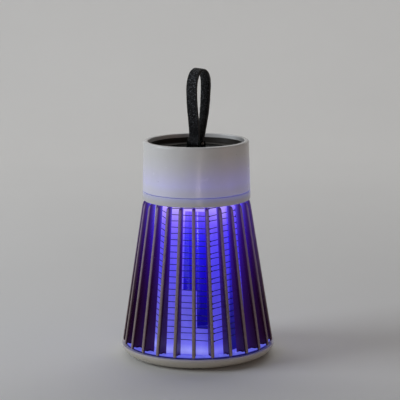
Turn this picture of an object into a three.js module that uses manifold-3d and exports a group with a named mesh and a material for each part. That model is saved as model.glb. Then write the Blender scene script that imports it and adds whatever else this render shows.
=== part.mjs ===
// Portable electric bug zapper: a cone of guard slats round a high-voltage grid,
// a white head with the electronics above it and a push-fit collection tray below.
// Millimetres, +Z up, origin at the centre of the tray's underside, front towards -Y.
import * as THREE from 'three';
import { mergeVertices } from 'three/addons/utils/BufferGeometryUtils.js';
import Module from 'manifold-3d';

const wasm = await Module();
wasm.setup();

// ---------------------------------------------------------------- driving dimensions
const GAP = 0.3;
const OVERCUT = 1;
const RING_SEGMENTS = 48;
const TUBE_SEGMENTS = 32;
const SMALL_SEGMENTS = 20;
const TINY_SEGMENTS = 10;

const TRAY_RADIUS = 50;
const TRAY_HEIGHT = 8.0;
const TRAY_FOOT_RADIUS = 36.5;
const TRAY_BAND = 0.4;
const TRAY_FLOOR = 1.8;
const TRAY_WALL_INNER = 45.4;
const TRAY_LIP_DROP = 2.0;
const TRAY_SIDE_STEPS = 7;

const RING_TOP = 9.5;
const RING_UNDERSIDE = 8.3;
const RING_OUTER = 47.4;
const SPIGOT_INNER = 43.2;
const SPIGOT_OUTER = 45.0;

const SLAT_COUNT = 25;
const SLAT_FIRST_ANGLE = -3.3;
const SLAT_THICKNESS = 2.1;
const SLAT_BOTTOM = 8.8;
const SLAT_TOP = 102.9;
const SLAT_HEEL = 7.6;
const SLAT_FOOT_RADIUS = 49.2;
const SLAT_STRAIGHT_FROM = 10.8;
const SLAT_SLOPE = 0.157;
const SLAT_INNER_BOTTOM = 39.6;
const SLAT_INNER_TOP = 30.4;
const SLAT_SHOULDER = 3.4;
const SLAT_SHOULDER_LEAN = 0.6;
const SLAT_TOE = 0.9;
const SLAT_CURVE_STEPS = 4;

const COLLAR_BOTTOM = 103.2;
const COLLAR_TOP = 108.9;
const COLLAR_RADIUS = 35.0;
const COLLAR_BORE = 27.5;
const COLLAR_WEB = 1.8;
const COLLAR_EDGE = 0.7;

const HEAD_BOTTOM = 109.2;
const HEAD_TOP = 141.5;
const HEAD_RADIUS_BOTTOM = 34.9;
const HEAD_RADIUS_TOP = 34.2;
const HEAD_RIM_ROUND = 1.5;
const HEAD_FOOT_EDGE = 0.35;
const HEAD_BORE = 32.4;
const RIM_INNER = 31.2;
const RIM_INNER_EDGE = 0.5;
const LEDGE_TOP = 134.1;
const LEDGE_INNER = 29.8;
const LEDGE_LIP = 0.8;
const LEDGE_DEPTH = 1.8;

const PANEL_RIM = 139.1;
const PANEL_FLOOR = 136.0;
const PANEL_BASE = 134.4;
const PANEL_HOLE = 21.1;
const PANEL_WALL = 1.0;
const PANEL_WALL_FOOT = 1.3;
const PANEL_FILLET = 0.5;

const CAP_RADIUS = 20.8;
const CAP_TOP = 136.3;
const CAP_EDGE = 0.4;
const LUG_DEPTH = 4.4;
const LUG_THICKNESS = 2.0;
const LUG_OVER_PIN = 1.2;

const STRAP_TURN = 36;
const STRAP_LEAN = 4;
const STRAP_WIDTH = 10;
const STRAP_THICKNESS = 1.3;
const STRAP_TOP = 187.6;
const STRAP_BREADTH = 12.7;
const STRAP_JOIN = 5.5;
const PIN_HEIGHT = 139.8;
const STRAP_BELLY_LOW = 14;
const STRAP_BELLY_HIGH = 20;
const STRAP_CURVE_STEPS = 8;
const PIN_RADIUS = 1.0;
const PIN_LENGTH = STRAP_WIDTH + 2 * (GAP + LUG_THICKNESS + GAP);

const GRID_CORNER_ANGLE = 17.4;
const WIRE_COUNT = 22;
const WIRE_LOWEST = 16.0;
const WIRE_PITCH = 4.0;
const WIRE_PAIRING = 0.43;
const WIRE_SIZE = 0.6;
const GRID_CORNER_TOP = 25.1;
const GRID_CORNER_TOP_HEIGHT = 102;
const GRID_TAPER = 0.1041;
const BUS_OFFSET = 1.3;
const BUS_SIZE = 0.8;

const FRAME_BOTTOM = 6.5;
const FRAME_TOP = 101.6;
const FRAME_INSET = 0.8;
const FRAME_WALL = 2.0;
const WINDOW_LEFT = 0.37;
const WINDOW_STEP = 0.66;
const WINDOW_RIGHT = 0.91;
const WINDOW_TOP = 98.5;
const STEPPED_WINDOW_FACES = [0, 5];
const NARROW_WINDOW_FACE = 1;
const SILL_HIGH = 47.6;
const SILL_LOW = 23.3;

const COLUMN_RADIUS = 11;
const COLUMN_BORE = 9.6;
const COLUMN_BOTTOM = 20;
const COLUMN_TOP = 106.8;
const COLUMN_FLOOR = 2;

const BATTERY_RADIUS = 9.1;
const BATTERY_LENGTH = 65;
const BATTERY_BOTTOM = COLUMN_BOTTOM + COLUMN_FLOOR + GAP;
const BATTERY_BUTTON_RADIUS = 3.2;
const BATTERY_BUTTON = 1.2;

const LED_COUNT = 6;
const LED_RADIUS = 2.5;
const LED_CIRCLE = 15.2;
const LED_BODY = 4.6;
const LED_DOME_STEPS = 3;
const BOARD_THICKNESS = 1.6;
const LED_BOARD_BOTTOM = 105.2;
const LED_BOARD_RADIUS = 24.4;
const LED_BOARD_HOLE = COLUMN_RADIUS + 0.5;

const MAIN_BOARD_BOTTOM = 110.5;
const MAIN_BOARD_RADIUS = 26.6;
const TRANSFORMER = { width: 15, depth: 13, height: 12, x: -9, y: -8 };
const CAPACITOR = { width: 6, depth: 14, height: 9, x: 10, y: -8 };

const PORT_BOARD_FRONT = 22.0;
const PORT_BOARD_BACK = PORT_BOARD_FRONT + BOARD_THICKNESS;
const PORT_BOARD_WIDTH = 16;
const PORT_BOARD_TALL = 20;
const PORT_BOARD_CENTRE = 123;

const BUTTON_HEIGHT = 126;
const BUTTON_RADIUS = 4.0;
const BUTTON_FLANGE = 5.2;
const BUTTON_FLANGE_BACK = 29.2;
const BUTTON_FLANGE_FRONT = 30.6;
const BUTTON_STEM = 1.5;
const BUTTON_EDGE = 0.5;
const BUTTON_TRAVEL = 0.9;
const BUTTON_FACE = 36.0;

const USB_HEIGHT = 118;
const USB_WIDTH = 8.9;
const USB_THICK = 3.2;
const USB_MOUTH = 33.4;
const USB_WALL = 0.35;
const USB_RECESS = 6.2;
const USB_TONGUE_WIDTH = 6.6;
const USB_TONGUE_THICK = 0.7;
const USB_TONGUE_SETBACK = 0.6;

const SWITCH_SIZE = 6;
const SWITCH_DEPTH = 3.0;
const PLUNGER_RADIUS = 1.6;
const PLUNGER_REACH = 0.7;

const LEAD_ANGLES = [GRID_CORNER_ANGLE + 120, GRID_CORNER_ANGLE + 180];
const LEAD_CIRCLE = 26;
const LEAD_RADIUS = 0.8;
const LEAD_BOTTOM = 101.2;

const SCREW_ANGLES = [5, 125, 245];
const SCREW_CIRCLE = 30.6;
const SCREW_SHANK = 1.2;
const SCREW_HEAD = 2.5;
const SCREW_HEAD_HEIGHT = 1.5;
const SCREW_TIP = 117;
const BOSS_RADIUS = 2.9;
const BOSS_CAP = 2;

// ---------------------------------------------------------------- materials
function material(color, roughness, metalness = 0) {
  return new THREE.MeshStandardMaterial({ color, roughness, metalness });
}

const whiteShell = material(0xe4e2e0, 0.38);
const slatPlastic = material(0x8d8378, 0.45);
const frostedPlastic = material(0xd9d4f2, 0.5);
const columnPlastic = material(0x2a1ab4, 0.3);
const charcoalPlastic = material(0x4a413e, 0.55);
const glossBlack = material(0x101312, 0.15);
const leather = material(0x2b2c30, 0.8);
const steel = material(0xb9bcc2, 0.3, 1);
const boardGreen = material(0x1f5a3a, 0.6);
const blackPlastic = material(0x191919, 0.5);
const cellWrap = material(0x2f6fb0, 0.4);
const lensPlastic = material(0xb9a6ff, 0.1);
const redInsulation = material(0xb01f1f, 0.5);
const blackInsulation = material(0x222222, 0.5);

// ---------------------------------------------------------------- helpers
const lamp = new THREE.Group();

// Every geometry is reduced to merged positions, so that it is one closed surface.
function closed(geometry) {
  const bare = geometry.index ? geometry.toNonIndexed() : geometry.clone();
  bare.deleteAttribute('normal');
  bare.deleteAttribute('uv');
  return dropSlivers(mergeVertices(bare, 1e-4));
}

// Triangles that collapsed where a lathe meets its axis are left out, and a surface
// that came out inside out is turned round.
function dropSlivers(geometry) {
  const index = geometry.index.array;
  const kept = [];
  for (let i = 0; i < index.length; i += 3) {
    const [a, b, c] = [index[i], index[i + 1], index[i + 2]];
    if (a !== b && b !== c && c !== a) {
      kept.push(a, b, c);
    }
  }
  if (signedVolume(geometry, kept) < 0) {
    kept.reverse();
  }
  geometry.setIndex(kept);
  return geometry;
}

function signedVolume(geometry, index) {
  const position = geometry.attributes.position;
  const [a, b, c] = [new THREE.Vector3(), new THREE.Vector3(), new THREE.Vector3()];
  let volume = 0;
  for (let i = 0; i < index.length; i += 3) {
    a.fromBufferAttribute(position, index[i]);
    b.fromBufferAttribute(position, index[i + 1]);
    c.fromBufferAttribute(position, index[i + 2]);
    volume += a.dot(b.cross(c)) / 6;
  }
  return volume;
}

function toSolid(geometry) {
  const merged = closed(geometry);
  return new wasm.Manifold(new wasm.Mesh({
    numProp: 3,
    vertProperties: new Float32Array(merged.attributes.position.array),
    triVerts: new Uint32Array(merged.index.array),
  }));
}

function fromSolid(solid) {
  const mesh = solid.getMesh();
  const geometry = new THREE.BufferGeometry();
  geometry.setAttribute('position', new THREE.BufferAttribute(mesh.vertProperties, 3));
  geometry.setIndex(Array.from(mesh.triVerts));
  return geometry;
}

function joined(first, ...others) {
  return fromSolid(others.reduce((sum, geometry) => sum.add(toSolid(geometry)), toSolid(first)));
}

function cut(body, ...tools) {
  return fromSolid(tools.reduce((rest, tool) => rest.subtract(toSolid(tool)), toSolid(body)));
}

function place(name, geometry, look) {
  const mesh = new THREE.Mesh(geometry, look);
  mesh.name = name;
  lamp.add(mesh);
}

// A solid of revolution about +Z from [radius, height] pairs.
function turned(profile, segments = RING_SEGMENTS) {
  const points = profile.map(([radius, height]) => new THREE.Vector2(radius, height));
  return closed(new THREE.LatheGeometry(points, segments).rotateX(Math.PI / 2));
}

// The same for a ring whose outline closes on itself.
function turnedRing(profile, segments = RING_SEGMENTS) {
  return turned([...profile, profile[0]], segments);
}

function cylinder(radius, bottom, top, segments = SMALL_SEGMENTS) {
  return turned([[0, bottom], [radius, bottom], [radius, top], [0, top]], segments);
}

function box(width, depth, height) {
  return new THREE.BoxGeometry(width, depth, height);
}

function outline(points) {
  return new THREE.Shape(points.map(([x, y]) => new THREE.Vector2(x, y)));
}

function radians(degrees) {
  return THREE.MathUtils.degToRad(degrees);
}

// Angles are measured from the front (-Y) towards +X.
function around(angle, radius, height = 0) {
  const a = radians(angle);
  return new THREE.Vector3(radius * Math.sin(a), -radius * Math.cos(a), height);
}

// Stands an outline drawn in (radius, height) upright at an angle, centred on its plane.
function radialPlate(shape, thickness, angle) {
  const plate = new THREE.ExtrudeGeometry(shape, { depth: thickness, bevelEnabled: false });
  plate.translate(0, 0, -thickness / 2);
  const outward = around(angle, 1);
  const up = new THREE.Vector3(0, 0, 1);
  const sideways = new THREE.Vector3().crossVectors(outward, up);
  return closed(plate.applyMatrix4(new THREE.Matrix4().makeBasis(outward, up, sideways)));
}

// ---------------------------------------------------------------- tray and base ring
function makeTray() {
  const wallHeight = TRAY_HEIGHT - TRAY_BAND;
  const side = [];
  for (let i = 0; i <= TRAY_SIDE_STEPS; i += 1) {
    const turn = (i / TRAY_SIDE_STEPS) * Math.PI / 2;
    const radius = TRAY_FOOT_RADIUS + (TRAY_RADIUS - TRAY_FOOT_RADIUS) * Math.sin(turn);
    side.push([radius, wallHeight * (1 - Math.cos(turn))]);
  }
  const profile = [
    [0, 0],
    ...side,
    [TRAY_RADIUS, TRAY_HEIGHT],
    [RING_OUTER, TRAY_HEIGHT],
    [TRAY_WALL_INNER, TRAY_HEIGHT - TRAY_LIP_DROP],
    [TRAY_WALL_INNER, TRAY_FLOOR],
    [0, TRAY_FLOOR],
  ];
  place('collection_tray', turned(profile), whiteShell);
}

function makeBaseRing() {
  const profile = [
    [SPIGOT_INNER, TRAY_FLOOR + GAP],
    [SPIGOT_OUTER, TRAY_FLOOR + GAP],
    [SPIGOT_OUTER, RING_UNDERSIDE],
    [RING_OUTER, RING_UNDERSIDE],
    [RING_OUTER, RING_TOP],
    [SPIGOT_INNER, RING_TOP],
  ];
  place('base_ring', turnedRing(profile), slatPlastic);
}

// ---------------------------------------------------------------- guard slats
function slatOuterRadius(height) {
  return SLAT_FOOT_RADIUS - SLAT_SLOPE * (height - SLAT_STRAIGHT_FROM);
}

function makeSlats() {
  const toeRadius = SLAT_FOOT_RADIUS - SLAT_TOE;
  const shoulderFoot = SLAT_TOP - SLAT_SHOULDER;
  const shoulderRadius = slatOuterRadius(shoulderFoot);
  const shoulderTip = shoulderRadius - SLAT_SHOULDER_LEAN;
  const heelRadius = SPIGOT_INNER - GAP;
  const shape = new THREE.Shape();
  shape.moveTo(SLAT_INNER_BOTTOM, SLAT_HEEL);
  shape.lineTo(heelRadius, SLAT_HEEL);
  shape.lineTo(heelRadius, RING_TOP + GAP);
  shape.lineTo(RING_OUTER + GAP, RING_TOP + GAP);
  shape.lineTo(RING_OUTER + GAP, SLAT_BOTTOM);
  shape.lineTo(toeRadius, SLAT_BOTTOM);
  shape.quadraticCurveTo(SLAT_FOOT_RADIUS, SLAT_BOTTOM, SLAT_FOOT_RADIUS, SLAT_BOTTOM + SLAT_TOE);
  shape.lineTo(SLAT_FOOT_RADIUS, SLAT_STRAIGHT_FROM);
  shape.lineTo(shoulderRadius, shoulderFoot);
  shape.quadraticCurveTo(shoulderTip, SLAT_TOP, shoulderRadius - SLAT_SHOULDER, SLAT_TOP);
  shape.lineTo(SLAT_INNER_TOP, SLAT_TOP);
  const rounded = new THREE.Shape(shape.getPoints(SLAT_CURVE_STEPS));
  for (let i = 0; i < SLAT_COUNT; i += 1) {
    const angle = SLAT_FIRST_ANGLE + (i * 360) / SLAT_COUNT;
    const name = `slat_${String(i + 1).padStart(2, '0')}`;
    place(name, radialPlate(rounded, SLAT_THICKNESS, angle), slatPlastic);
  }
}

// ---------------------------------------------------------------- collar and head
function rodAt(angle, circle, radius, bottom, top) {
  const { x, y } = around(angle, circle);
  return cylinder(radius, bottom, top, TINY_SEGMENTS).translate(x, y, 0);
}

function makeCollar() {
  const profile = [
    [0, COLLAR_TOP - COLLAR_WEB],
    [COLLAR_BORE, COLLAR_TOP - COLLAR_WEB],
    [COLLAR_BORE, COLLAR_BOTTOM],
    [COLLAR_RADIUS - COLLAR_EDGE, COLLAR_BOTTOM],
    [COLLAR_RADIUS, COLLAR_BOTTOM + COLLAR_EDGE],
    [COLLAR_RADIUS, COLLAR_TOP - COLLAR_EDGE],
    [COLLAR_RADIUS - COLLAR_EDGE / 2, COLLAR_TOP],
    [0, COLLAR_TOP],
  ];
  const recessTop = COLLAR_BOTTOM + SCREW_HEAD_HEIGHT + 2 * GAP;
  const holes = SCREW_ANGLES.flatMap((angle) => [
    rodAt(angle, SCREW_CIRCLE, SCREW_HEAD + GAP, COLLAR_BOTTOM - OVERCUT, recessTop),
    rodAt(angle, SCREW_CIRCLE, SCREW_SHANK + GAP, COLLAR_BOTTOM, COLLAR_TOP + OVERCUT),
  ]);
  const leadHoles = LEAD_ANGLES.map((angle) => rodAt(
    angle, LEAD_CIRCLE, LEAD_RADIUS + GAP, COLLAR_BOTTOM, COLLAR_TOP + OVERCUT));
  place('collar', cut(turned(profile), ...holes, ...leadHoles), whiteShell);
}

function makeHeadShell() {
  const roundMiddle = HEAD_RIM_ROUND * (1 - Math.SQRT1_2);
  const profile = [
    [HEAD_BORE, HEAD_BOTTOM],
    [HEAD_RADIUS_BOTTOM - HEAD_FOOT_EDGE, HEAD_BOTTOM],
    [HEAD_RADIUS_BOTTOM, HEAD_BOTTOM + HEAD_FOOT_EDGE],
    [HEAD_RADIUS_TOP, HEAD_TOP - HEAD_RIM_ROUND],
    [HEAD_RADIUS_TOP - roundMiddle, HEAD_TOP - roundMiddle],
    [HEAD_RADIUS_TOP - HEAD_RIM_ROUND, HEAD_TOP],
    [RIM_INNER + RIM_INNER_EDGE, HEAD_TOP],
    [RIM_INNER, HEAD_TOP - RIM_INNER_EDGE],
    [RIM_INNER, LEDGE_TOP],
    [LEDGE_INNER, LEDGE_TOP],
    [LEDGE_INNER, LEDGE_TOP - LEDGE_LIP],
    [HEAD_BORE, LEDGE_TOP - LEDGE_LIP - LEDGE_DEPTH],
  ];
  const bosses = SCREW_ANGLES.map((angle) => rodAt(
    angle, SCREW_CIRCLE, BOSS_RADIUS, HEAD_BOTTOM, SCREW_TIP + BOSS_CAP));
  const pilotHoles = SCREW_ANGLES.map((angle) => rodAt(
    angle, SCREW_CIRCLE, SCREW_SHANK + GAP, HEAD_BOTTOM - OVERCUT, SCREW_TIP + GAP));
  const throughWall = HEAD_RADIUS_BOTTOM + OVERCUT;
  const buttonHole = cylinder(BUTTON_RADIUS + GAP, LEDGE_INNER, throughWall).rotateX(-Math.PI / 2);
  buttonHole.translate(0, 0, BUTTON_HEIGHT);
  const usbHole = box(USB_WIDTH + 2 * GAP, throughWall - LEDGE_INNER, USB_THICK + 2 * GAP);
  usbHole.translate(0, (throughWall + LEDGE_INNER) / 2, USB_HEIGHT);
  const shell = joined(turnedRing(profile), ...bosses);
  place('head_shell', cut(shell, ...pilotHoles, buttonHole, usbHole), whiteShell);
}

function makeTopPanel() {
  const outer = RIM_INNER - GAP;
  const profile = [
    [PANEL_HOLE, PANEL_BASE],
    [outer, PANEL_BASE],
    [outer, PANEL_RIM],
    [outer - PANEL_WALL, PANEL_RIM],
    [outer - PANEL_WALL_FOOT, PANEL_FLOOR + PANEL_FILLET],
    [outer - PANEL_WALL_FOOT - PANEL_FILLET, PANEL_FLOOR],
    [PANEL_HOLE, PANEL_FLOOR],
  ];
  place('top_panel', turnedRing(profile), charcoalPlastic);
}

// ---------------------------------------------------------------- strap and its pin
// A cylinder that lies along the strap's width, through the pin's centre line.
function alongPin(radius, length) {
  const rod = cylinder(radius, -length / 2, length / 2, TINY_SEGMENTS);
  return rod.rotateX(Math.PI / 2).rotateZ(radians(STRAP_TURN)).translate(0, 0, PIN_HEIGHT);
}

function makeCentreCap() {
  const disc = turned([
    [0, PANEL_BASE],
    [CAP_RADIUS, PANEL_BASE],
    [CAP_RADIUS, CAP_TOP - CAP_EDGE],
    [CAP_RADIUS - CAP_EDGE, CAP_TOP],
    [0, CAP_TOP],
  ]);
  const lugTop = PIN_HEIGHT + PIN_RADIUS + LUG_OVER_PIN;
  const lugRoot = CAP_TOP - OVERCUT;
  const lugOffset = STRAP_WIDTH / 2 + GAP + LUG_THICKNESS / 2;
  const lugs = [-1, 1].map((side) => {
    const lug = box(LUG_DEPTH, LUG_THICKNESS, lugTop - lugRoot);
    lug.translate(0, side * lugOffset, (lugTop + lugRoot) / 2);
    return lug.rotateZ(radians(STRAP_TURN));
  });
  const bore = alongPin(PIN_RADIUS + GAP, PIN_LENGTH + 2 * OVERCUT);
  place('centre_cap', cut(joined(disc, ...lugs), bore), glossBlack);
  place('strap_pin', alongPin(PIN_RADIUS, PIN_LENGTH), steel);
}

// The band runs round the pin in an eye, its two sides stay joined up to STRAP_JOIN,
// then they part into a long teardrop that closes in a round top.
const STRAP_EYE = PIN_RADIUS + GAP + STRAP_THICKNESS;
const STRAP_CROWN = STRAP_TOP - PIN_HEIGHT - STRAP_BREADTH / 2;

function strapOutside() {
  const half = STRAP_BREADTH / 2;
  const shape = new THREE.Shape();
  shape.moveTo(-STRAP_EYE, 0);
  shape.absarc(0, 0, STRAP_EYE, Math.PI, 2 * Math.PI, false);
  shape.bezierCurveTo(STRAP_EYE, STRAP_BELLY_LOW, half, STRAP_BELLY_HIGH, half, STRAP_CROWN);
  shape.absarc(0, STRAP_CROWN, half, 0, Math.PI, false);
  shape.bezierCurveTo(-half, STRAP_BELLY_HIGH, -STRAP_EYE, STRAP_BELLY_LOW, -STRAP_EYE, 0);
  return shape;
}

function strapInside() {
  const half = STRAP_BREADTH / 2 - STRAP_THICKNESS;
  const spread = STRAP_EYE - STRAP_THICKNESS;
  const hole = new THREE.Shape();
  hole.moveTo(0, STRAP_JOIN);
  hole.bezierCurveTo(spread, STRAP_BELLY_LOW, half, STRAP_BELLY_HIGH, half, STRAP_CROWN);
  hole.absarc(0, STRAP_CROWN, half, 0, Math.PI, false);
  hole.bezierCurveTo(-half, STRAP_BELLY_HIGH, -spread, STRAP_BELLY_LOW, 0, STRAP_JOIN);
  return hole;
}

function makeStrap() {
  const shape = new THREE.Shape(strapOutside().getPoints(STRAP_CURVE_STEPS));
  const eye = new THREE.Path();
  eye.absarc(0, 0, PIN_RADIUS + GAP, 0, 2 * Math.PI, false);
  shape.holes.push(new THREE.Path(strapInside().getPoints(STRAP_CURVE_STEPS)));
  shape.holes.push(new THREE.Path(eye.getPoints(TINY_SEGMENTS / 2)));
  const loop = new THREE.ExtrudeGeometry(shape, { depth: STRAP_WIDTH, bevelEnabled: false });
  loop.translate(0, 0, -STRAP_WIDTH / 2).rotateZ(-radians(STRAP_LEAN));
  loop.rotateX(Math.PI / 2).rotateZ(radians(STRAP_TURN)).translate(0, 0, PIN_HEIGHT);
  place('strap', closed(loop), leather);
}

// ---------------------------------------------------------------- grid
function gridCorner(height) {
  return GRID_CORNER_TOP + GRID_TAPER * (GRID_CORNER_TOP_HEIGHT - height);
}

function hexagon(radius) {
  const points = [];
  for (let i = 0; i < 6; i += 1) {
    const { x, y } = around(GRID_CORNER_ANGLE + i * 60, radius);
    points.push(new THREE.Vector2(x, y));
  }
  return points;
}

function wireHeight(i) {
  const pairing = i % 2 === 0 ? 0 : WIRE_PAIRING;
  return WIRE_LOWEST + i * WIRE_PITCH + pairing;
}

function wireLoop(height) {
  const half = WIRE_SIZE / 2 / Math.cos(Math.PI / 6);
  const radius = gridCorner(height);
  const shape = new THREE.Shape(hexagon(radius + half));
  shape.holes.push(new THREE.Path(hexagon(radius - half)));
  const loop = new THREE.ExtrudeGeometry(shape, { depth: WIRE_SIZE, bevelEnabled: false });
  return loop.translate(0, 0, height - WIRE_SIZE / 2);
}

// A straight square rod between two points in the plane of an angle.
function rodBetween(angle, radiusLow, low, radiusHigh, high, size) {
  const half = size / 2;
  const shape = outline([
    [radiusLow - half, low],
    [radiusLow + half, low],
    [radiusHigh + half, high],
    [radiusHigh - half, high],
  ]);
  return radialPlate(shape, size, angle);
}

function makeElectrode(name, parity, angle) {
  const heights = [];
  for (let i = parity; i < WIRE_COUNT; i += 2) {
    heights.push(wireHeight(i));
  }
  const low = heights[0] - WIRE_SIZE / 2;
  const high = heights[heights.length - 1] + WIRE_SIZE / 2;
  const busFoot = gridCorner(low) + BUS_OFFSET;
  const busHead = gridCorner(high) + BUS_OFFSET;
  const bus = rodBetween(angle, busFoot, low, busHead, high, BUS_SIZE);
  const pieces = heights.flatMap((height) => {
    const radius = gridCorner(height);
    const stub = outline([
      [radius, height - WIRE_SIZE / 2],
      [radius + BUS_OFFSET, height - WIRE_SIZE / 2],
      [radius + BUS_OFFSET, height + WIRE_SIZE / 2],
      [radius, height + WIRE_SIZE / 2],
    ]);
    return [wireLoop(height), radialPlate(stub, WIRE_SIZE, angle)];
  });
  place(name, joined(bus, ...pieces), steel);
}

// Six tapered walls, open at both ends. The front and the left front wall have a stepped window,
// the right front wall only the window's narrow long part.
function hexPrism(inset, bottom, top) {
  const prism = new THREE.CylinderGeometry(
    gridCorner(top) - inset, gridCorner(bottom) - inset, top - bottom, 6);
  prism.rotateX(Math.PI / 2).translate(0, 0, (top + bottom) / 2);
  return prism.rotateZ(radians(GRID_CORNER_ANGLE));
}

function windowCutter(faceIndex) {
  const across = (share, height) => (share - 0.5) * gridCorner(height);
  const rightSide = [
    [across(WINDOW_STEP, SILL_LOW), SILL_LOW],
    [across(WINDOW_RIGHT, SILL_LOW), SILL_LOW],
    [across(WINDOW_RIGHT, WINDOW_TOP), WINDOW_TOP],
  ];
  const steppedSide = [
    [across(WINDOW_LEFT, WINDOW_TOP), WINDOW_TOP],
    [across(WINDOW_LEFT, SILL_HIGH), SILL_HIGH],
    [across(WINDOW_STEP, SILL_HIGH), SILL_HIGH],
  ];
  const straightSide = [[across(WINDOW_STEP, WINDOW_TOP), WINDOW_TOP]];
  const leftSide = faceIndex === NARROW_WINDOW_FACE ? straightSide : steppedSide;
  const shape = outline([...rightSide, ...leftSide]);
  const depth = gridCorner(FRAME_BOTTOM) - COLUMN_RADIUS;
  const cutter = new THREE.ExtrudeGeometry(shape, { depth, bevelEnabled: false });
  cutter.rotateX(Math.PI / 2).translate(0, -COLUMN_RADIUS, 0);
  return cutter.rotateZ(radians(GRID_CORNER_ANGLE - 30 + faceIndex * 60));
}

function makeGridFrame() {
  const inner = FRAME_INSET + FRAME_WALL / Math.cos(Math.PI / 6);
  const outside = hexPrism(FRAME_INSET, FRAME_BOTTOM, FRAME_TOP);
  const inside = hexPrism(inner, FRAME_BOTTOM - OVERCUT, FRAME_TOP + OVERCUT);
  const windows = [...STEPPED_WINDOW_FACES, NARROW_WINDOW_FACE].map(windowCutter);
  place('grid_frame', cut(outside, inside, ...windows), frostedPlastic);
}

// ---------------------------------------------------------------- light and battery
function makeColumn() {
  const bore = COLUMN_BOTTOM + COLUMN_FLOOR;
  const profile = [
    [0, COLUMN_BOTTOM],
    [COLUMN_RADIUS, COLUMN_BOTTOM],
    [COLUMN_RADIUS, COLUMN_TOP],
    [COLUMN_BORE, COLUMN_TOP],
    [COLUMN_BORE, bore],
    [0, bore],
  ];
  place('core_column', turned(profile, TUBE_SEGMENTS), columnPlastic);
  const cellTop = BATTERY_BOTTOM + BATTERY_LENGTH;
  const cell = [
    [0, BATTERY_BOTTOM],
    [BATTERY_RADIUS, BATTERY_BOTTOM],
    [BATTERY_RADIUS, cellTop - BATTERY_BUTTON],
    [BATTERY_BUTTON_RADIUS, cellTop - BATTERY_BUTTON],
    [BATTERY_BUTTON_RADIUS, cellTop],
    [0, cellTop],
  ];
  place('battery', turned(cell, SMALL_SEGMENTS), cellWrap);
}

function makeLights() {
  const boardTop = LED_BOARD_BOTTOM + BOARD_THICKNESS;
  const board = turnedRing([
    [LED_BOARD_HOLE, LED_BOARD_BOTTOM],
    [LED_BOARD_RADIUS, LED_BOARD_BOTTOM],
    [LED_BOARD_RADIUS, boardTop],
    [LED_BOARD_HOLE, boardTop],
  ], TUBE_SEGMENTS);
  place('led_board', board, boardGreen);
  const base = LED_BOARD_BOTTOM - GAP;
  const domeTop = base - LED_BODY;
  const dome = [];
  for (let i = 0; i <= LED_DOME_STEPS; i += 1) {
    const turn = (i / LED_DOME_STEPS) * Math.PI / 2;
    dome.push([LED_RADIUS * Math.sin(turn), domeTop - LED_RADIUS * Math.cos(turn)]);
  }
  for (let i = 0; i < LED_COUNT; i += 1) {
    const { x, y } = around(GRID_CORNER_ANGLE - 30 + i * 60, LED_CIRCLE);
    const led = turned([...dome, [LED_RADIUS, base], [0, base]], TINY_SEGMENTS);
    place(`uv_led_${i + 1}`, led.translate(x, y, 0), lensPlastic);
  }
}

// ---------------------------------------------------------------- electronics in the head
function onMainBoard({ width, depth, height, x, y }) {
  const seat = MAIN_BOARD_BOTTOM + BOARD_THICKNESS + GAP;
  return box(width, depth, height).translate(x, y, seat + height / 2);
}

function makeBoards() {
  const mainTop = MAIN_BOARD_BOTTOM + BOARD_THICKNESS;
  const disc = cylinder(MAIN_BOARD_RADIUS, MAIN_BOARD_BOTTOM, mainTop, TUBE_SEGMENTS);
  place('main_board', disc, boardGreen);
  place('hv_transformer', onMainBoard(TRANSFORMER), blackPlastic);
  place('hv_capacitor', onMainBoard(CAPACITOR), cellWrap);
  const portBoard = box(PORT_BOARD_WIDTH, BOARD_THICKNESS, PORT_BOARD_TALL);
  portBoard.translate(0, (PORT_BOARD_FRONT + PORT_BOARD_BACK) / 2, PORT_BOARD_CENTRE);
  place('port_board', portBoard, boardGreen);
}

function makeSocketAndSwitch() {
  const back = PORT_BOARD_BACK + GAP;
  const shell = box(USB_WIDTH, USB_MOUTH - back, USB_THICK);
  shell.translate(0, (USB_MOUTH + back) / 2, USB_HEIGHT);
  const recess = box(USB_WIDTH - 2 * USB_WALL, USB_RECESS + OVERCUT, USB_THICK - 2 * USB_WALL);
  recess.translate(0, USB_MOUTH + (OVERCUT - USB_RECESS) / 2, USB_HEIGHT);
  const tongue = box(USB_TONGUE_WIDTH, USB_RECESS, USB_TONGUE_THICK);
  tongue.translate(0, USB_MOUTH - USB_TONGUE_SETBACK - USB_RECESS / 2, USB_HEIGHT);
  place('usb_socket', joined(cut(shell, recess), tongue), steel);
  const body = box(SWITCH_SIZE, SWITCH_DEPTH, SWITCH_SIZE);
  body.translate(0, back + SWITCH_DEPTH / 2, BUTTON_HEIGHT);
  const plunger = cylinder(PLUNGER_RADIUS, 0, SWITCH_DEPTH + PLUNGER_REACH, TINY_SEGMENTS);
  plunger.rotateX(-Math.PI / 2).translate(0, back, BUTTON_HEIGHT);
  place('tact_switch', joined(body, plunger), blackPlastic);
}

function makeButton() {
  const plungerTip = PORT_BOARD_BACK + GAP + SWITCH_DEPTH + PLUNGER_REACH;
  const stemEnd = plungerTip + BUTTON_TRAVEL + GAP;
  const profile = [
    [0, stemEnd],
    [BUTTON_STEM, stemEnd],
    [BUTTON_STEM, BUTTON_FLANGE_BACK],
    [BUTTON_FLANGE, BUTTON_FLANGE_BACK],
    [BUTTON_FLANGE, BUTTON_FLANGE_FRONT],
    [BUTTON_RADIUS, BUTTON_FLANGE_FRONT],
    [BUTTON_RADIUS, BUTTON_FACE - BUTTON_EDGE],
    [BUTTON_RADIUS - BUTTON_EDGE, BUTTON_FACE],
    [0, BUTTON_FACE],
  ];
  const button = turned(profile, TUBE_SEGMENTS).rotateX(-Math.PI / 2);
  place('power_button', button.translate(0, 0, BUTTON_HEIGHT), charcoalPlastic);
}

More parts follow.
